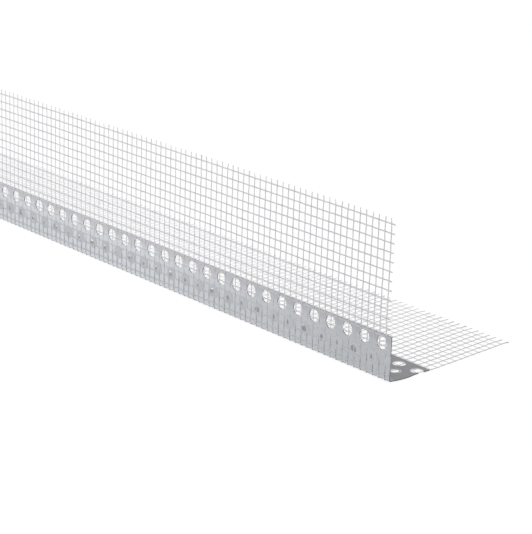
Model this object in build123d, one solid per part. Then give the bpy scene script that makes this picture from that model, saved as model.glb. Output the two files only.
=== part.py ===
from build123d import *

import os

# A corner bead for plaster and render: a perforated aluminium angle with a strip of
# glass-fibre mesh glued round its outside, which runs on past both legs as two wings.
# X runs along the bead, which ends at X = 0 and at X = -bead_length. The upright leg
# and its wing stand in the plane Y = 0, and the wider leg and its wing lie towards +Y.
# The outer corner of the metal is the line Y = 0, Z = 0. All sizes are in millimetres.

bead_length = 2500.0

# the aluminium angle
sheet = 0.5
upright_leg = 25.0
flat_leg = 30.0
inner_bend = 0.6

# the shears left the flat leg's near end bowed out between the bend and this width
end_bow = 1.1
end_bow_reach = 19.0

# round holes in two rows on each leg, the inner row half a pitch behind the outer one;
# a hole that would only nick the end of the bead is left out
hole_diameter = 7.5
hole_pitch = 13.2
row_spacing = 9.5
upright_outer_row = 19.9
flat_outer_row = 23.4
upright_first_hole = 6.9
flat_first_hole = 3.2
nick = 0.5

# the mesh: flat strands, those along the bead lying against the metal
# and those across it lying outside them
strand = 0.25
along_width = 0.7
along_pitch = 5.1
across_width = 0.75
across_pitch = 4.7
upright_selvage = 85.0
upright_fringe = 3.5
flat_selvage = 93.4
flat_fringe = 6.0
mesh_start = 1.65

# the strands across the bead, in equal lengths of the mesh that meet end to end
lengths = ("near", "middle", "far")
strands_in_length = 177

outer_bend = inner_bend + sheet
net_length = strands_in_length * across_pitch
mesh_length = len(lengths) * net_length


def row(first):
    """Places of one row of holes along a leg, from the end at X = 0 to the far end."""
    reach = hole_diameter / 2 - nick
    start = first - hole_pitch if first - hole_pitch > -reach else first
    count = int((bead_length + reach - start) / hole_pitch) + 1
    return [-(start + i * hole_pitch) for i in range(count)]


def perforated_plate(width, outer_row, first_hole):
    """One leg lying flat, from the bend's tangent line at Y = outer_bend to its free edge."""
    blank = Rectangle(bead_length, width - outer_bend, align=(Align.MAX, Align.MIN))
    blank = Pos(0, outer_bend) * blank
    circle = Circle(hole_diameter / 2)
    outer = [Pos(x, outer_row) * circle for x in row(first_hole)]
    inner = [Pos(x, outer_row - row_spacing) * circle for x in row(first_hole + hole_pitch / 2)]
    return extrude(blank - (outer + inner), sheet)


def bowed_end():
    """The sliver of the flat leg that stands out past X = 0 at the near end."""
    start, end = (0, outer_bend), (0, end_bow_reach)
    crown = (end_bow, (outer_bend + end_bow_reach) / 2)
    return extrude(make_face(ThreePointArc(start, crown, end) + Line(end, start)), sheet)


def lay_upright(flat):
    """Turns a form made on the flat leg round the corner line on to the upright leg."""
    return mirror(Rot(90, 0, 0) * flat, Plane.XZ)


def bend(inside, outside, length):
    """Quarter turn round the corner between two radii, from X = 0 back along the bead."""
    ring = Circle(outside) - Circle(inside)
    quarter = ring & (Pos(-outside / 2, -outside / 2) * Rectangle(outside, outside))
    return extrude(Plane.YZ * Pos(outer_bend, outer_bend) * quarter, -length)


def angle():
    flat = perforated_plate(flat_leg, flat_outer_row, flat_first_hole) + bowed_end()
    upright = lay_upright(perforated_plate(upright_leg, upright_outer_row, upright_first_hole))
    return flat + bend(inner_bend, outer_bend, bead_length) + upright


def comb(start, selvage, fringe):
    """Strands across one leg lying flat, outside those along it, joined by the selvage strand."""
    low = (Align.CENTER, Align.MIN)
    width = selvage + fringe - start
    blank = Pos(0, start) * Rectangle(net_length, width, align=(Align.MAX, Align.MIN))
    clear = across_pitch - across_width
    window = Rectangle(clear, selvage - along_width / 2 - start, align=low)
    notch = Rectangle(clear, fringe, align=low)
    gaps = [
        Pos(-i * across_pitch, y) * gap
        for i in range(strands_in_length + 1)
        for gap, y in ((window, start), (notch, selvage + along_width / 2))
    ]
    return Pos(0, 0, -2 * strand) * extrude(blank - gaps, strand)


def along_places(selvage):
    """Distances from the corner of the strands along the bead, from beside a selvage inwards."""
    count = int((selvage - outer_bend - along_width / 2) / along_pitch)
    return [selvage - i * along_pitch for i in range(1, count + 1)]


def along_strand(y, length):
    low = (Align.MAX, Align.CENTER, Align.MAX)
    return Pos(0, y) * Box(length, along_width, strand, align=low)


def corner_net(y):
    """The turns of the strands round the bend, joined by the strand along the bead beside it."""
    reach = y + along_width / 2 - outer_bend
    foot = Box(across_width, reach, strand, align=(Align.MAX, Align.MIN, Align.MIN))
    foot = Pos(0, outer_bend, -2 * strand) * foot
    turn = bend(outer_bend + strand, outer_bend + 2 * strand, across_width) + foot
    first = (across_width - across_pitch) / 2
    turns = [Pos(first - i * across_pitch) * turn for i in range(strands_in_length)]
    return along_strand(y, net_length) + turns


upright_places = along_places(upright_selvage)
*flat_places, corner_place = along_places(flat_selvage)
corner_edge = corner_place + along_width / 2

strands = {
    "mesh_upright_strands": [
        lay_upright(along_strand(y, mesh_length)) for y in upright_places
    ],
    "mesh_flat_strands": [along_strand(y, mesh_length) for y in flat_places],
}
nets = {
    "mesh_upright_net": lay_upright(comb(outer_bend, upright_selvage, upright_fringe)),
    "mesh_corner_net": corner_net(corner_place),
    "mesh_flat_net": comb(corner_edge, flat_selvage, flat_fringe),
}

parts = {"corner_profile": angle()}
for name, bars in strands.items():
    parts[name] = Compound(children=[Pos(-mesh_start) * bar for bar in bars])
for name, net in nets.items():
    for i, where in enumerate(lengths):
        parts[f"{name}_{where}"] = Pos(-mesh_start - i * net_length) * net

os.makedirs("parts", exist_ok=True)
for name, shape in parts.items():
    export_step(shape, f"parts/{name}.step", write_pcurves=False)
    solids = shape.solids()
    print(name, len(solids), round(sum(solid.volume for solid in solids)))
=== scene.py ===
from math import radians

import bpy
from mathutils import Matrix, Vector


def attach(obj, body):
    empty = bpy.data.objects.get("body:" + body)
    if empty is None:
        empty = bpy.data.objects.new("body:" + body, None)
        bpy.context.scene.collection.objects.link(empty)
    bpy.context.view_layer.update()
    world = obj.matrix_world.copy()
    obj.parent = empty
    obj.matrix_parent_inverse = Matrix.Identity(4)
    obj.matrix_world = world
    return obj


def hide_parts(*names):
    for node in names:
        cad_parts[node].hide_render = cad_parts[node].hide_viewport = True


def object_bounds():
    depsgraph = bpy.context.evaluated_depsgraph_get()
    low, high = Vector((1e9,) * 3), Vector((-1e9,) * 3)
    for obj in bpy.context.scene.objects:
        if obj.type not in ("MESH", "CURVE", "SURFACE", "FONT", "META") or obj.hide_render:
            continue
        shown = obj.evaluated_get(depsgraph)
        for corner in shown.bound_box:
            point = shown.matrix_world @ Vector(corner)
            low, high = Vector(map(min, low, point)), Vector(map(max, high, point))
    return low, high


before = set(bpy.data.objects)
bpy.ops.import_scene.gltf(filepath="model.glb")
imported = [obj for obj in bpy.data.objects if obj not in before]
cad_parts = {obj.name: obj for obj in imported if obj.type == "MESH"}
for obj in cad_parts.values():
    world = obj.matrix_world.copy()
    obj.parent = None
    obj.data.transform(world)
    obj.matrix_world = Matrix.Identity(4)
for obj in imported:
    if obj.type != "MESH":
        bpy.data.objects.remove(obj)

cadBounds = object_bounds()
scene = bpy.context.scene
mm = 0.001

# The bead lies along -X from its near end at X = 0. The upright leg and wing stand in the
# plane Y = 0 and the wider leg and wing lie in the plane Z = 0, with the cloth outside both.
bead = {
    "length": 2500 * mm,
    "uprightLeg": 25 * mm,
    "flatLeg": 30 * mm,
    "outerBend": 1.1 * mm,
    "sheet": 0.5 * mm,
    "holeRadius": 3.75 * mm,
    "holePitch": 13.2 * mm,
    "uprightHoles": (6.9 * mm, 19.9 * mm),  # the outer rows: first hole and height or width
    "flatHoles": (3.2 * mm, 23.4 * mm),
}


def activate(piece):
    bpy.ops.object.select_all(action="DESELECT")
    piece.select_set(True)
    bpy.context.view_layer.objects.active = piece


def applyModifiers(piece):
    activate(piece)
    for modifier in list(piece.modifiers):
        bpy.ops.object.modifier_apply(modifier=modifier.name)


def smoothStep(value, low, high):
    share = min(max((value - low) / (high - low), 0), 1)
    return share * share * (3 - 2 * share)


def combine(nodes, links, operation, first, second):
    node = nodes.new("ShaderNodeMath")
    node.operation = operation
    for value, socket in ((first, node.inputs[0]), (second, node.inputs[1])):
        if isinstance(value, (int, float)):
            socket.default_value = value
        else:
            links.new(value, socket)
    return node.outputs[0]


# camera, floor and light

view = {
    "place": (0.6434, -0.6488, 0.3465),
    "heading": 48.904,
    "pitch": 17.425,
    "roll": 2.011,
    "lens": 126.26,
    "filmWidth": 36,
    "nearest": 0.01,
    "farthest": 100,
}


def makeCamera():
    data = bpy.data.cameras.new("camera")
    data.lens = view["lens"]
    data.sensor_width = view["filmWidth"]
    data.clip_start = view["nearest"]
    data.clip_end = view["farthest"]
    camera = bpy.data.objects.new("camera", data)
    scene.collection.objects.link(camera)
    turn = Matrix.Rotation(radians(view["heading"]), 3, "Z")
    turn = turn @ Matrix.Rotation(radians(90 - view["pitch"]), 3, "X")
    turn = turn @ Matrix.Rotation(radians(view["roll"]), 3, "Z")
    camera.rotation_euler = turn.to_euler()
    camera.location = view["place"]
    scene.camera = camera


studio = {
    "floorSize": 40,
    "floorTone": 0.9,
    "floorRoughness": 0.9,
    "floorGloss": 0.1,
    "seenTone": 0.2,  # the camera and reflections see a paler shadow on a white floor
    "seenLift": 0.835,
    "worldTone": 0.62,
    "keyStrength": 1.1,
    "keyAim": (-0.15, 0.45, -1),
    "softness": 50,
}


def cameraOrReflection(nodes, links):
    rays = nodes.new("ShaderNodeLightPath").outputs
    either = combine(nodes, links, "MAXIMUM", rays["Is Camera Ray"], rays["Is Glossy Ray"])
    return combine(nodes, links, "MAXIMUM", either, rays["Is Transmission Ray"])


def makeFloor():
    bpy.ops.object.select_all(action="DESELECT")
    bpy.ops.mesh.primitive_plane_add(size=studio["floorSize"], location=(0, 0, cadBounds[0].z))
    floor = bpy.context.object
    floor.name = "floor"
    finish = bpy.data.materials.new("paleFloor")
    finish.use_nodes = True
    nodes, links = finish.node_tree.nodes, finish.node_tree.links
    surface = nodes["Principled BSDF"]
    tone = studio["floorTone"]
    surface.inputs["Base Color"].default_value = (tone, tone, tone, 1)
    surface.inputs["Roughness"].default_value = studio["floorRoughness"]
    surface.inputs["Specular IOR Level"].default_value = studio["floorGloss"]
    shade = nodes.new("ShaderNodeBsdfDiffuse")
    tone = studio["seenTone"]
    shade.inputs["Color"].default_value = (tone, tone, tone, 1)
    glow = nodes.new("ShaderNodeEmission")
    glow.inputs["Strength"].default_value = studio["seenLift"]
    seen = nodes.new("ShaderNodeAddShader")
    links.new(shade.outputs[0], seen.inputs[0])
    links.new(glow.outputs[0], seen.inputs[1])
    either = nodes.new("ShaderNodeMixShader")
    links.new(cameraOrReflection(nodes, links), either.inputs[0])
    links.new(surface.outputs[0], either.inputs[1])
    links.new(seen.outputs[0], either.inputs[2])
    links.new(either.outputs[0], nodes["Material Output"].inputs["Surface"])
    floor.data.materials.append(finish)


def makeWorld():
    world = bpy.data.worlds.new("studio")
    world.use_nodes = True
    nodes, links = world.node_tree.nodes, world.node_tree.links
    back = nodes["Background"]
    strength = nodes.new("ShaderNodeMapRange")
    strength.inputs["To Min"].default_value = studio["worldTone"]
    strength.inputs["To Max"].default_value = 1
    links.new(cameraOrReflection(nodes, links), strength.inputs["Value"])
    links.new(strength.outputs["Result"], back.inputs["Strength"])
    back.inputs["Color"].default_value = (1, 1, 1, 1)
    scene.world = world


def makeKeyLamp():
    data = bpy.data.lights.new("keyLamp", "SUN")
    data.energy = studio["keyStrength"]
    data.angle = radians(studio["softness"])
    lamp = bpy.data.objects.new("keyLamp", data)
    lamp.rotation_euler = Vector(studio["keyAim"]).to_track_quat("-Z", "Y").to_euler()
    scene.collection.objects.link(lamp)


makeCamera()
makeFloor()
makeWorld()
makeKeyLamp()
scene.view_settings.view_transform = "Standard"
print("camera, floor and light are in place")


# shared effects

def newGroup(name, inputs, outputs):
    group = bpy.data.node_groups.new(name, "ShaderNodeTree")
    for socket, kind in inputs:
        group.interface.new_socket(socket, in_out="INPUT", socket_type=kind)
    for socket, kind in outputs:
        group.interface.new_socket(socket, in_out="OUTPUT", socket_type=kind)
    start = group.nodes.new("NodeGroupInput")
    end = group.nodes.new("NodeGroupOutput")
    return group, start, end


mottling = {"patchDetail": 3, "fineDetail": 4, "lowest": 0.35, "highest": 0.65}


def makeMottle():
    # large soft patches with finer ones on them, from 0 to 1
    inputs = (
        ("Vector", "NodeSocketVector"),
        ("Patch Scale", "NodeSocketFloat"),
        ("Fine Scale", "NodeSocketFloat"),
        ("Fine Share", "NodeSocketFloat"),
    )
    group, start, end = newGroup("mottle", inputs, (("Value", "NodeSocketFloat"),))
    nodes, links = group.nodes, group.links
    patches = nodes.new("ShaderNodeTexNoise")
    patches.inputs["Detail"].default_value = mottling["patchDetail"]
    fine = nodes.new("ShaderNodeTexNoise")
    fine.inputs["Detail"].default_value = mottling["fineDetail"]
    mixed = nodes.new("ShaderNodeMix")
    links.new(start.outputs["Vector"], patches.inputs["Vector"])
    links.new(start.outputs["Vector"], fine.inputs["Vector"])
    links.new(start.outputs["Patch Scale"], patches.inputs["Scale"])
    links.new(start.outputs["Fine Scale"], fine.inputs["Scale"])
    links.new(start.outputs["Fine Share"], mixed.inputs["Factor"])
    links.new(patches.outputs["Fac"], mixed.inputs[2])
    links.new(fine.outputs["Fac"], mixed.inputs[3])
    spread = nodes.new("ShaderNodeMapRange")
    spread.inputs["From Min"].default_value = mottling["lowest"]
    spread.inputs["From Max"].default_value = mottling["highest"]
    links.new(mixed.outputs[0], spread.inputs["Value"])
    links.new(spread.outputs["Result"], end.inputs["Value"])
    return group


def makeBelow():
    # 1 where a coordinate is below an edge, falling to 0 over a short width
    inputs = (
        ("Value", "NodeSocketFloat"),
        ("Edge", "NodeSocketFloat"),
        ("Width", "NodeSocketFloat"),
    )
    group, start, end = newGroup("below", inputs, (("Mask", "NodeSocketFloat"),))
    nodes, links = group.nodes, group.links
    past = nodes.new("ShaderNodeMath")
    past.operation = "SUBTRACT"
    share = nodes.new("ShaderNodeMath")
    share.operation = "DIVIDE"
    share.use_clamp = True
    links.new(start.outputs["Edge"], past.inputs[0])
    links.new(start.outputs["Value"], past.inputs[1])
    links.new(past.outputs[0], share.inputs[0])
    links.new(start.outputs["Width"], share.inputs[1])
    links.new(share.outputs[0], end.inputs["Mask"])
    return group


mottle = makeMottle()
below = makeBelow()


def addGroup(nodes, group, **values):
    node = nodes.new("ShaderNodeGroup")
    node.node_tree = group
    for name, value in values.items():
        node.inputs[name].default_value = value
    return node


def mixColours(nodes, links, mask, low, high, blend="MIX"):
    mix = nodes.new("ShaderNodeMix")
    mix.data_type = "RGBA"
    mix.blend_type = blend
    links.new(mask, mix.inputs["Factor"])
    for value, socket in ((low, mix.inputs[6]), (high, mix.inputs[7])):
        if isinstance(value, tuple):
            socket.default_value = (*value, 1)
        else:
            links.new(value, socket)
    return mix.outputs[2]


def addBelow(nodes, links, value, edge, width):
    node = addGroup(nodes, below, Edge=edge, Width=width)
    links.new(value, node.inputs["Value"])
    return node.outputs[0]


def addMottle(nodes, links, place, values):
    node = addGroup(nodes, mottle, **values)
    links.new(place, node.inputs["Vector"])
    return node.outputs[0]


def addPlace(nodes, links):
    place = nodes.new("ShaderNodeTexCoord").outputs["Object"]
    axes = nodes.new("ShaderNodeSeparateXYZ")
    links.new(place, axes.inputs[0])
    return place, axes.outputs["X"], axes.outputs["Y"], axes.outputs["Z"]


def addFinish(name):
    finish = bpy.data.materials.new(name)
    finish.use_nodes = True
    nodes, links = finish.node_tree.nodes, finish.node_tree.links
    return finish, nodes, links, nodes["Principled BSDF"]


def addStretched(nodes, links, place, scales, fineness, detail):
    # noise drawn out along an axis
    stretch = nodes.new("ShaderNodeMapping")
    stretch.inputs["Scale"].default_value = scales
    links.new(place, stretch.inputs["Vector"])
    noise = nodes.new("ShaderNodeTexNoise")
    noise.inputs["Scale"].default_value = fineness
    noise.inputs["Detail"].default_value = detail
    links.new(stretch.outputs[0], noise.inputs["Vector"])
    return noise.outputs["Fac"]


def bump(nodes, links, height, strength, distance):
    node = nodes.new("ShaderNodeBump")
    node.inputs["Strength"].default_value = strength
    node.inputs["Distance"].default_value = distance
    links.new(height, node.inputs["Height"])
    return node.outputs["Normal"]


# the aluminium angle

metal = {
    "bare": (0.37, 0.37, 0.39),
    "bareDull": (0.28, 0.28, 0.30),
    "bareUpright": (0.50, 0.50, 0.515),
    "byBend": (0.46, 0.46, 0.48),  # the inner faces beside the bend
    "glued": (0.66, 0.69, 0.70),
    "gluedDull": (0.67, 0.68, 0.735),
    "unglued": (0.60, 0.60, 0.63),  # the upright leg's outer face above the glue
    "uprightRimShade": (0.10, 0.10, 0.11),  # the walls of the holes in the upright leg, painted dark as painted shade
    # the walls of the holes in the flat leg, painted pale as painted light against their shade
    "flatRimLight": (0.85, 0.85, 0.86),
    "cut": (0.15, 0.15, 0.155),
    "nearEndShade": (0.76, 0.76, 0.76),  # painted shade, darker towards the near end
    "glueReach": 21.5 * mm,
    "glueFade": 2 * mm,
    "lowReach": 6 * mm,  # how far up the inner faces the darker tone goes
    "lowFade": 5 * mm,
    "bendReach": 5 * mm,
    "bendFade": 3 * mm,
    "outsideReach": 0.06 * mm,
    "outsideFade": 0.02 * mm,
    "wallFade": 0.01 * mm,
    "wallStart": 0.2 * mm,  # past the bend
    "cutReach": 0.2 * mm,
    "cutFade": 0.1 * mm,
    "endwise": 0.8,  # the least X of a normal that faces an end
    "mottle": {"Patch Scale": 70, "Fine Scale": 900, "Fine Share": 0.35},
    "metallic": 0.85,
    "smoothest": 0.38,
    "roughest": 0.55,
    "lineStretch": 0.02,
    "lineScale": 1500,
    "lineDetail": 2,
    "bumpStrength": 0.35,
    "bumpDepth": 0.1 * mm,
}
nearEnd = {"edge": 0.22, "width": 0.2}  # how far in the painted shade at the near end goes, and its fade


def makeAluminium():
    finish, nodes, links, surface = addFinish("rolledAluminium")
    place, x, y, z = addPlace(nodes, links)
    patches = addMottle(nodes, links, place, metal["mottle"])
    bare = mixColours(nodes, links, patches, metal["bareDull"], metal["bare"])
    # the inner faces are brighter beside the bend and up the upright leg
    low = addBelow(nodes, links, z, metal["lowReach"], metal["lowFade"])
    bare = mixColours(nodes, links, low, metal["bareUpright"], bare)
    outward = combine(nodes, links, "MAXIMUM", y, z)
    byBend = addBelow(nodes, links, outward, metal["bendReach"], metal["bendFade"])
    bare = mixColours(nodes, links, byBend, bare, metal["byBend"])
    # the outer faces, which the cloth is glued to, are at Y = 0 and at Z = 0
    depth = combine(nodes, links, "MINIMUM", y, z)
    outside = addBelow(nodes, links, depth, metal["outsideReach"], metal["outsideFade"])
    glued = mixColours(nodes, links, patches, metal["gluedDull"], metal["glued"])
    reached = addBelow(nodes, links, z, metal["glueReach"], metal["glueFade"])
    unglued = combine(nodes, links, "SUBTRACT", 1, reached)
    plain = mixColours(nodes, links, unglued, glued, metal["unglued"])
    colour = mixColours(nodes, links, outside, bare, plain)
    # walls of the holes, between the two faces of the sheet, with painted shade in the upright leg
    # and painted light in the flat leg
    wallFade = metal["wallFade"]
    inSheet = addBelow(nodes, links, depth, bead["sheet"] - wallFade, wallFade)
    inSheet = combine(nodes, links, "SUBTRACT", inSheet, outside)
    wallStart = bead["outerBend"] + metal["wallStart"]
    inBend = addBelow(nodes, links, outward, wallStart, metal["cutFade"])
    pastBend = combine(nodes, links, "SUBTRACT", 1, inBend)
    wall = combine(nodes, links, "MULTIPLY", inSheet, pastBend)
    aboveBend = combine(nodes, links, "GREATER_THAN", z, bead["outerBend"])
    rim = mixColours(nodes, links, aboveBend, metal["flatRimLight"], metal["uprightRimShade"])
    colour = mixColours(nodes, links, wall, colour, rim)
    # the sheared ends
    fromNear = combine(nodes, links, "MULTIPLY", x, -1)
    fromFar = combine(nodes, links, "ADD", x, bead["length"])
    fromEnd = combine(nodes, links, "MINIMUM", fromNear, fromFar)
    facing = nodes.new("ShaderNodeSeparateXYZ")
    links.new(nodes.new("ShaderNodeTexCoord").outputs["Normal"], facing.inputs[0])
    endwise = combine(nodes, links, "ABSOLUTE", facing.outputs["X"], 0)
    endwise = combine(nodes, links, "GREATER_THAN", endwise, metal["endwise"])
    atEnd = addBelow(nodes, links, fromEnd, metal["cutReach"], metal["cutFade"])
    sheared = combine(nodes, links, "MULTIPLY", atEnd, endwise)
    colour = mixColours(nodes, links, sheared, colour, metal["cut"])
    # painted shade: darker towards the near end
    nearEndShade = addBelow(nodes, links, fromNear, nearEnd["edge"], nearEnd["width"])
    colour = mixColours(nodes, links, nearEndShade, colour, metal["nearEndShade"], "MULTIPLY")
    links.new(colour, surface.inputs["Base Color"])
    surface.inputs["Metallic"].default_value = metal["metallic"]
    rough = nodes.new("ShaderNodeMapRange")
    rough.inputs["To Min"].default_value = metal["smoothest"]
    rough.inputs["To Max"].default_value = metal["roughest"]
    links.new(patches, rough.inputs["Value"])
    links.new(rough.outputs["Result"], surface.inputs["Roughness"])
    # drawing lines along the strip, with glue ripples
    lines = addStretched(
        nodes, links, place, (metal["lineStretch"], 1, 1), metal["lineScale"], metal["lineDetail"]
    )
    height = combine(nodes, links, "ADD", lines, patches)
    normal = bump(nodes, links, height, metal["bumpStrength"], metal["bumpDepth"])
    links.new(normal, surface.inputs["Normal"])
    return finish


aluminium = makeAluminium()
profile = bpy.data.objects["corner_profile"]
profile.data.materials.clear()
profile.data.materials.append(aluminium)
print("the angle has its finish")


# the cloth

cloth = {
    "alongPitch": 5.1 * mm,
    "acrossPitch": 4.7 * mm,
    "uprightSelvage": 85 * mm,
    "flatSelvage": 93.4 * mm,
    "uprightCount": 17,  # strands along the bead in each wing, selvage included
    "flatCount": 19,
    "acrossCount": 531,
    "firstAcross": -4 * mm,
    "middle": 0.25 * mm,  # the cloth's middle, outside the metal
    "weave": 0.1 * mm,  # how far a strand goes out and in at a crossing
    "sides": 6,
    "acrossFlats": 0.866,  # of a hexagon one unit wide across its corners
}
across = {
    "wide": 0.84 * mm,
    "thick": 0.2 * mm,
    "uprightTip": 3 * mm,
    "flatTip": 5.5 * mm,
    "bendSteps": 5,
}
along = {
    "wide": 0.78 * mm,
    "thick": 0.2 * mm,
    "uprightTip": 2.6 * mm,
    "flatTip": 0.7 * mm,
}


def extrudeBy(step):
    bpy.ops.mesh.extrude_region_move(TRANSFORM_OT_translate={"value": step})


def startStrand(name, size, at, turn):
    # a flattened ring closed by one face, which the strand is drawn out of
    bpy.ops.object.select_all(action="DESELECT")
    bpy.ops.mesh.primitive_circle_add(vertices=cloth["sides"], radius=0.5, fill_type="NGON")
    piece = bpy.context.object
    piece.name = name
    piece.data.name = name
    piece.scale = (size["thick"] / cloth["acrossFlats"], size["wide"], 1)
    piece.rotation_euler = turn
    piece.location = at
    bpy.ops.object.transform_apply(location=True, rotation=True, scale=True)
    bpy.ops.object.mode_set(mode="EDIT")
    bpy.ops.mesh.select_all(action="SELECT")
    return piece


def endStrand():
    bpy.ops.mesh.select_all(action="SELECT")
    bpy.ops.mesh.normals_make_consistent(inside=False)
    bpy.ops.object.mode_set(mode="OBJECT")


def repeat(piece, count, step):
    copies = piece.modifiers.new("copies", "ARRAY")
    copies.use_relative_offset = False
    copies.use_constant_offset = True
    copies.constant_offset_displace = step
    copies.count = count
    applyModifiers(piece)


def makeAcross(name, first):
    # first is 0 or 1: this strand and every second one after it pass the others alike
    side = 1 if first % 2 == 0 else -1
    middle, weave, pitch = cloth["middle"], cloth["weave"], cloth["alongPitch"]
    height = cloth["uprightSelvage"] + across["uprightTip"]
    x = cloth["firstAcross"] - first * cloth["acrossPitch"]
    piece = startStrand(name, across, (x, -middle, height), (0, 0, radians(90)))
    out = 0
    for i in range(cloth["uprightCount"]):
        down = cloth["uprightSelvage"] - i * pitch - height
        extrudeBy((0, -side * weave - out, down))
        height, out, side = height + down, -side * weave, -side
    bend = bead["outerBend"]
    extrudeBy((0, -out, bend - height))
    bpy.ops.mesh.spin(
        steps=across["bendSteps"], angle=radians(-90), center=(x, bend, bend), axis=(1, 0, 0)
    )
    distance, out = bend, 0
    for i in reversed(range(cloth["flatCount"])):
        step = cloth["flatSelvage"] - i * pitch - distance
        extrudeBy((0, step, -side * weave - out))
        distance, out, side = distance + step, -side * weave, -side
    extrudeBy((0, across["flatTip"], -out))
    endStrand()
    count = (cloth["acrossCount"] - first + 1) // 2
    repeat(piece, count, (-2 * cloth["acrossPitch"], 0, 0))
    return piece


def makeAlong(name, turn, at, outward, tip, count, step, side):
    # the strand passes each crossing on the other side from the one across it
    piece = startStrand(name, along, at, turn)
    outward = Vector(outward)
    pitch, weave = cloth["acrossPitch"], cloth["weave"]
    out = 0
    for i in range(cloth["acrossCount"]):
        move = -tip if i == 0 else -pitch
        extrudeBy(outward * (-side * weave - out) + Vector((move, 0, 0)))
        out, side = -side * weave, -side
    extrudeBy(outward * -out + Vector((-tip, 0, 0)))
    endStrand()
    repeat(piece, count, step)
    return piece


def makeUprightAlong(name, first):
    tip = along["uprightTip"]
    at = (
        cloth["firstAcross"] + tip,
        -cloth["middle"],
        cloth["uprightSelvage"] - first * cloth["alongPitch"],
    )
    count = (cloth["uprightCount"] - first + 1) // 2
    side = 1 if first % 2 == 0 else -1
    turn = (radians(90), 0, radians(90))
    step = (0, 0, -2 * cloth["alongPitch"])
    return makeAlong(name, turn, at, (0, -1, 0), tip, count, step, side)


def makeFlatAlong(name, first):
    tip = along["flatTip"]
    at = (
        cloth["firstAcross"] + tip,
        cloth["flatSelvage"] - first * cloth["alongPitch"],
        -cloth["middle"],
    )
    count = (cloth["flatCount"] - first + 1) // 2
    # numbered on from the upright wing's strands, round the bend and out to the selvage
    number = cloth["uprightCount"] + cloth["flatCount"] - 1 - first
    side = 1 if number % 2 == 0 else -1
    turn = (0, radians(90), 0)
    step = (0, -2 * cloth["alongPitch"], 0)
    return makeAlong(name, turn, at, (0, 0, -1), tip, count, step, side)


# the cloth is a little out of true, the same for the strands of both ways
waver = {
    "underLegDrift": 3.3 * mm,
    "wingLean": -6 * mm,
    "wander": 0.7 * mm,
    "wanderScale": 28 * mm,
    "wanderFrom": 0.8,  # shares of the upright leg's height where it starts up and down
    "wanderTo": 2,  # and where it is whole
    "fray": 2.6 * mm,
    "frayScale": 2.2 * mm,
    "frayStart": 0.5 * mm,  # past the last crossing
    "sunk": 0.28 * mm,  # pressed into the glue on the metal, less near the corner
    "sunkLow": 0.52,
    "sunkWhole": (0.3, 0.6),  # shares of a leg between which it sinks to its whole depth
    "sunkBefore": 1 * mm,  # it starts to rise this far before the leg's edge
    "sunkFade": 4 * mm,
}


def noiseTexture(name, size, depth):
    texture = bpy.data.textures.new(name, "CLOUDS")
    texture.noise_scale = size
    texture.noise_depth = depth
    texture.cloud_type = "COLOR"
    return texture


wanderNoise = noiseTexture("wander", waver["wanderScale"], 1)
frayNoise = noiseTexture("fray", waver["frayScale"], 0)


def weigh(piece, name, weightAt):
    group = piece.vertex_groups.new(name=name)
    for vertex in piece.data.vertices:
        weight = weightAt(vertex.co)
        if weight > 0:
            group.add([vertex.index], weight, "REPLACE")
    return group.name


def displace(piece, name, direction, strength, group=None, texture=None):
    shift = piece.modifiers.new(name, "DISPLACE")
    shift.direction = direction
    shift.strength = strength
    shift.mid_level = 0.5 if texture else 0
    if texture:
        shift.texture = texture
    if group:
        shift.vertex_group = group


def underLeg(co):
    return min(max(co.y / bead["flatLeg"], 0), 1)


def onWing(co):
    return min(max((co.y - bead["flatLeg"]) / (cloth["flatSelvage"] - bead["flatLeg"]), 0), 1)


def inUpright(co):
    leg = bead["uprightLeg"]
    return smoothStep(co.z, waver["wanderFrom"] * leg, waver["wanderTo"] * leg)


def onLeg(distance, leg):
    on = smoothStep(distance, 0, bead["outerBend"])
    past = smoothStep(distance, leg - waver["sunkBefore"], leg + waver["sunkFade"])
    start, whole = waver["sunkWhole"]
    high = smoothStep(distance, start * leg, whole * leg)
    return (on - past) * (waver["sunkLow"] + (1 - waver["sunkLow"]) * high)


def onUprightLeg(co):
    return onLeg(co.z, bead["uprightLeg"])


def onFlatLeg(co):
    return onLeg(co.y, bead["flatLeg"])


def inFringe(co):
    start = waver["frayStart"]
    pastTop = (co.z - cloth["uprightSelvage"] - start) / across["uprightTip"]
    pastSide = (co.y - cloth["flatSelvage"] - start) / across["flatTip"]
    pastNear = (co.x - cloth["firstAcross"] - start) / along["uprightTip"]
    lastAcross = cloth["firstAcross"] - (cloth["acrossCount"] - 1) * cloth["acrossPitch"]
    pastFar = (lastAcross - start - co.x) / along["uprightTip"]
    return min(max(pastTop, pastSide, pastNear, pastFar, 0), 1)


def makeUneven(piece):
    leg = weigh(piece, "underLeg", underLeg)
    wing = weigh(piece, "onWing", onWing)
    upright = weigh(piece, "inUpright", inUpright)
    fringe = weigh(piece, "inFringe", inFringe)
    onUpright = weigh(piece, "onUprightLeg", onUprightLeg)
    onFlat = weigh(piece, "onFlatLeg", onFlatLeg)
    displace(piece, "drift", "X", waver["underLegDrift"], leg)
    displace(piece, "lean", "X", waver["wingLean"], wing)
    displace(piece, "wanderLong", "X", waver["wander"], None, wanderNoise)
    displace(piece, "wanderHigh", "Z", waver["wander"], upright, wanderNoise)
    displace(piece, "wanderWide", "Y", waver["wander"], wing, wanderNoise)
    displace(piece, "frayLong", "X", waver["fray"], fringe, frayNoise)
    displace(piece, "sunkUpright", "Y", waver["sunk"], onUpright)
    displace(piece, "sunkFlat", "Z", waver["sunk"], onFlat)
    applyModifiers(piece)


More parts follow.
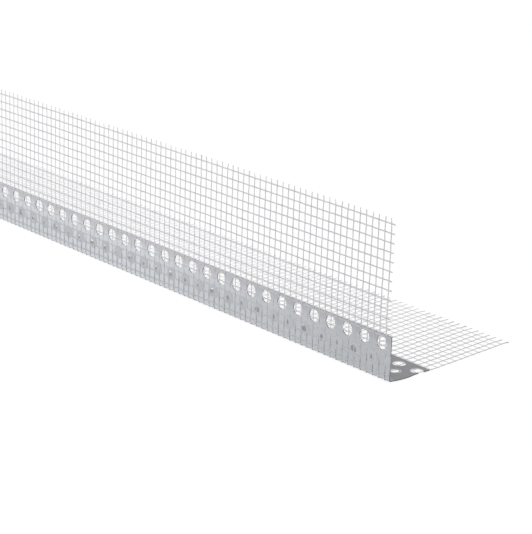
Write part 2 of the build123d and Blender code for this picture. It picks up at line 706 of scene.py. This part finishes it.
strandTone = {
    "light": (0.78, 0.775, 0.80),
    "dull": (0.62, 0.615, 0.645),
    # the flat wing's strands, painted paler than the upright wing's as painted light
    "flatPaintedLight": (0.98, 0.975, 1.0),
    "flatPaintedLightDull": (0.92, 0.915, 0.95),
    "soaked": (0.55, 0.565, 0.59),
    # painted highlight on the turns round the bend
    "bendPaintedLight": (0.86, 0.87, 0.90),
    # painted shade, darker towards the near end
    "nearEndShade": (0.92, 0.92, 0.92),
    "flatAcross": (0.55, 0.55, 0.56),  # painted shade at the near end too, in the flat wing
    "flatAlong": (0.72, 0.72, 0.73),
}
strandFinish = {
    "mottle": {"Patch Scale": 120, "Fine Scale": 1500, "Fine Share": 0.45},
    "soakedFade": 1 * mm,
    "cornerReach": 1.6 * mm,
    "cornerFade": 0.6 * mm,
    "roughness": 0.5,
    "filamentStretch": 0.06,
    "filamentScale": 9000,
    "filamentDetail": 2,
    "bumpStrength": 0.4,
    "bumpDepth": 0.05 * mm,
}


def spansHole(nodes, links, fromNear, outward, holes):
    # 1 within the round holes of one row, 0 between them
    first, row = holes
    pitch, radius = bead["holePitch"], bead["holeRadius"]
    shifted = combine(nodes, links, "SUBTRACT", fromNear, first - pitch / 2)
    alongHole = combine(nodes, links, "FLOORED_MODULO", shifted, pitch)
    alongHole = combine(nodes, links, "SUBTRACT", alongHole, pitch / 2)
    acrossHole = combine(nodes, links, "SUBTRACT", outward, row)
    farOff = combine(
        nodes, links, "ADD",
        combine(nodes, links, "MULTIPLY", alongHole, alongHole),
        combine(nodes, links, "MULTIPLY", acrossHole, acrossHole),
    )
    return combine(nodes, links, "LESS_THAN", farOff, radius * radius)


def makeStrandFinish(name, stretchBy, flatNearEndShade):
    finish, nodes, links, surface = addFinish(name)
    place, x, y, z = addPlace(nodes, links)
    tone = addMottle(nodes, links, place, strandFinish["mottle"])
    colour = mixColours(nodes, links, tone, strandTone["dull"], strandTone["light"])
    # the flat wing's strands are painted paler than the upright wing's, as painted light, and both
    # are darker towards the near end as painted shade
    flat = mixColours(nodes, links, tone, strandTone["flatPaintedLightDull"], strandTone["flatPaintedLight"])
    # painted shade: both wings darker towards the near end
    fromNear = combine(nodes, links, "MULTIPLY", x, -1)
    nearEndShade = addBelow(nodes, links, fromNear, nearEnd["edge"], nearEnd["width"])
    colour = mixColours(nodes, links, nearEndShade, colour, strandTone["nearEndShade"], "MULTIPLY")
    flat = mixColours(nodes, links, nearEndShade, flat, flatNearEndShade, "MULTIPLY")
    inFlat = addBelow(nodes, links, z, bead["outerBend"], bead["outerBend"])
    colour = mixColours(nodes, links, inFlat, colour, flat)
    # soaked with glue where it lies on the metal, but not across the outer rows of holes
    onUpright = addBelow(nodes, links, z, bead["uprightLeg"], strandFinish["soakedFade"])
    onFlat = addBelow(nodes, links, y, bead["flatLeg"], strandFinish["soakedFade"])
    soaked = combine(nodes, links, "MULTIPLY", onUpright, onFlat)
    spans = combine(
        nodes, links, "MAXIMUM",
        spansHole(nodes, links, fromNear, z, bead["uprightHoles"]),
        spansHole(nodes, links, fromNear, y, bead["flatHoles"]),
    )
    dry = combine(nodes, links, "SUBTRACT", 1, spans)
    soaked = combine(nodes, links, "MULTIPLY", soaked, dry)
    colour = mixColours(nodes, links, soaked, colour, strandTone["soaked"])
    # the turns round the bend are painted paler, a painted highlight where they lie in shade
    outward = combine(nodes, links, "MAXIMUM", y, z)
    reach, fade = strandFinish["cornerReach"], strandFinish["cornerFade"]
    bendPaintedLight = addBelow(nodes, links, outward, reach, fade)
    colour = mixColours(nodes, links, bendPaintedLight, colour, strandTone["bendPaintedLight"])
    links.new(colour, surface.inputs["Base Color"])
    surface.inputs["Roughness"].default_value = strandFinish["roughness"]
    filaments = addStretched(
        nodes, links, place, stretchBy, strandFinish["filamentScale"], strandFinish["filamentDetail"]
    )
    strength, depth = strandFinish["bumpStrength"], strandFinish["bumpDepth"]
    links.new(bump(nodes, links, filaments, strength, depth), surface.inputs["Normal"])
    return finish


drawnOut = strandFinish["filamentStretch"]
acrossFinish = makeStrandFinish(
    "glassFibreAcross", (1, drawnOut, drawnOut), strandTone["flatAcross"]
)
alongFinish = makeStrandFinish("glassFibreAlong", (drawnOut, 1, 1), strandTone["flatAlong"])


def finishCloth(piece, finish, *nodes):
    makeUneven(piece)
    piece.data.materials.append(finish)
    piece.data.shade_smooth()
    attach(piece, "root")
    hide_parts(*nodes)
    print(piece.name, "has", len(piece.data.polygons), "faces")


nets = [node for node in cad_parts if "_net_" in node]
for first, name in enumerate(("across_strands_odd", "across_strands_even")):
    finishCloth(makeAcross(name, first), acrossFinish, *nets)
for first, name in enumerate(("upright_strands_odd", "upright_strands_even")):
    finishCloth(makeUprightAlong(name, first), alongFinish, "mesh_upright_strands")
for first, name in enumerate(("flat_strands_odd", "flat_strands_even")):
    finishCloth(makeFlatAlong(name, first), alongFinish, "mesh_flat_strands")
print("the cloth is woven")


# skins of dried glue, which partly close the holes of the inner rows

skin = {
    "radius": 3.95 * mm,
    "corners": 24,
    "outside": 0.03 * mm,
    "thick": 0.06 * mm,
    "flatThick": 0.4 * mm,  # nearly flush with the top of the flat leg
    "uprightRow": 10.4 * mm,
    "uprightFirst": -13.5 * mm,
    "uprightCount": 189,
    "flatRow": 13.9 * mm,
    "flatFirst": -9.8 * mm,
    "flatCount": 189,
    # width and height of each opening in turn, and how far off the middle it is
    "uprightOpenings": (
        {"wide": 2.2 * mm, "high": 4.2 * mm, "alongBy": -0.2 * mm, "upBy": -0.8 * mm},
        {"wide": 3.8 * mm, "high": 4.2 * mm, "alongBy": -0.9 * mm, "upBy": -0.3 * mm},
        {"wide": 1.8 * mm, "high": 3.4 * mm, "alongBy": -1.3 * mm, "upBy": -0.3 * mm},
    ),
    "flatOpenings": (
        {"wide": 5.4 * mm, "high": 6.0 * mm, "alongBy": -0.5 * mm, "upBy": 0 * mm},
        {"wide": 4.8 * mm, "high": 5.4 * mm, "alongBy": -0.7 * mm, "upBy": 0.2 * mm},
    ),
    "openingEdge": 0.9,  # share of the radius within which a point is on an opening
    "ragged": 2.2 * mm,
    "raggedHigh": -0.7,  # as a share of that along the bead
    "raggedScale": 6 * mm,
    "tone": (0.56, 0.575, 0.59),
    "toneDull": (0.50, 0.51, 0.56),
    "insideTone": (0.37, 0.37, 0.385),
    "mottle": {"Patch Scale": 150, "Fine Scale": 1200, "Fine Share": 0.4},
    "roughness": 0.45,
    "bumpStrength": 0.3,
    "bumpDepth": 0.1 * mm,
}


def makeSkin(at, opening=None):
    # drawn on the upright leg, facing outwards
    bpy.ops.object.select_all(action="DESELECT")
    bpy.ops.mesh.primitive_circle_add(
        vertices=skin["corners"], radius=skin["radius"], fill_type="NGON",
        location=at, rotation=(radians(90), 0, 0),
    )
    piece = bpy.context.object
    bpy.ops.object.transform_apply(location=True, rotation=True, scale=True)
    bpy.ops.object.mode_set(mode="EDIT")
    bpy.ops.mesh.select_all(action="SELECT")
    bpy.ops.mesh.inset(thickness=skin["radius"] / 2)
    if opening:
        wide, high = opening["wide"] / skin["radius"], opening["high"] / skin["radius"]
        bpy.ops.transform.resize(value=(wide, 1, high), center_override=at)
        bpy.ops.transform.translate(value=(opening["alongBy"], 0, opening["upBy"]))
        bpy.ops.mesh.delete(type="ONLY_FACE")
    else:
        # the bead's near end cuts this one
        bpy.ops.mesh.select_all(action="SELECT")
        bpy.ops.mesh.bisect(plane_co=(-skin["thick"], 0, 0), plane_no=(1, 0, 0), clear_outer=True)
    bpy.ops.object.mode_set(mode="OBJECT")
    return piece


def inOpening(co, first, row):
    # 1 on the edge of an opening, 0 on the rim that sits on the metal
    pitch = bead["holePitch"]
    alongHole = (co.x - first + pitch / 2) % pitch - pitch / 2
    offCentre = Vector((alongHole, co.z - row)).length
    return 1 if offCentre < skin["openingEdge"] * skin["radius"] else 0


raggedNoise = noiseTexture("ragged", skin["raggedScale"], 1)


def makeSkins(name, first, row, count, thick, openings, cutOnes=()):
    pieces = [makeSkin((x, -skin["outside"], row)) for x in cutOnes]
    kinds = len(openings)
    for i, opening in enumerate(openings):
        at = (first - i * bead["holePitch"], -skin["outside"], row)
        piece = makeSkin(at, opening)
        repeat(piece, (count - i + kinds - 1) // kinds, (-kinds * bead["holePitch"], 0, 0))
        pieces.append(piece)
    bpy.ops.object.select_all(action="DESELECT")
    for piece in pieces:
        piece.select_set(True)
    bpy.context.view_layer.objects.active = pieces[0]
    bpy.ops.object.join()
    piece = bpy.context.object
    piece.name = name
    piece.data.name = name
    edges = weigh(piece, "opening", lambda co: inOpening(co, first, row))
    displace(piece, "raggedLong", "X", skin["ragged"], edges, raggedNoise)
    displace(piece, "raggedHigh", "Z", skin["raggedHigh"] * skin["ragged"], edges, raggedNoise)
    body = piece.modifiers.new("body", "SOLIDIFY")
    body.thickness = thick
    body.offset = 1
    applyModifiers(piece)
    return piece


def layFlat(piece):
    # turned about the corner line, into the holes of the flat leg
    activate(piece)
    bpy.ops.object.mode_set(mode="EDIT")
    bpy.ops.mesh.select_all(action="SELECT")
    bpy.ops.transform.rotate(value=radians(90), orient_axis="X", center_override=(0, 0, 0))
    bpy.ops.object.mode_set(mode="OBJECT")


def makeSkinFinish():
    finish, nodes, links, surface = addFinish("driedGlue")
    place, x, y, z = addPlace(nodes, links)
    tone = addMottle(nodes, links, place, skin["mottle"])
    colour = mixColours(nodes, links, tone, skin["toneDull"], skin["tone"])
    inFlat = addBelow(nodes, links, z, bead["outerBend"], bead["outerBend"])
    colour = mixColours(nodes, links, inFlat, colour, skin["insideTone"])
    links.new(colour, surface.inputs["Base Color"])
    surface.inputs["Roughness"].default_value = skin["roughness"]
    normal = bump(nodes, links, tone, skin["bumpStrength"], skin["bumpDepth"])
    links.new(normal, surface.inputs["Normal"])
    return finish


driedGlue = makeSkinFinish()
uprightSkins = makeSkins(
    "upright_glue_skins", skin["uprightFirst"], skin["uprightRow"], skin["uprightCount"],
    skin["thick"], skin["uprightOpenings"], [skin["uprightFirst"] + bead["holePitch"]],
)
flatSkins = makeSkins(
    "flat_glue_skins", skin["flatFirst"], skin["flatRow"], skin["flatCount"],
    skin["flatThick"], skin["flatOpenings"],
)
layFlat(flatSkins)
for piece in (uprightSkins, flatSkins):
    piece.data.materials.append(driedGlue)
    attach(piece, "root")
    print(piece.name, "has", len(piece.data.polygons), "faces")
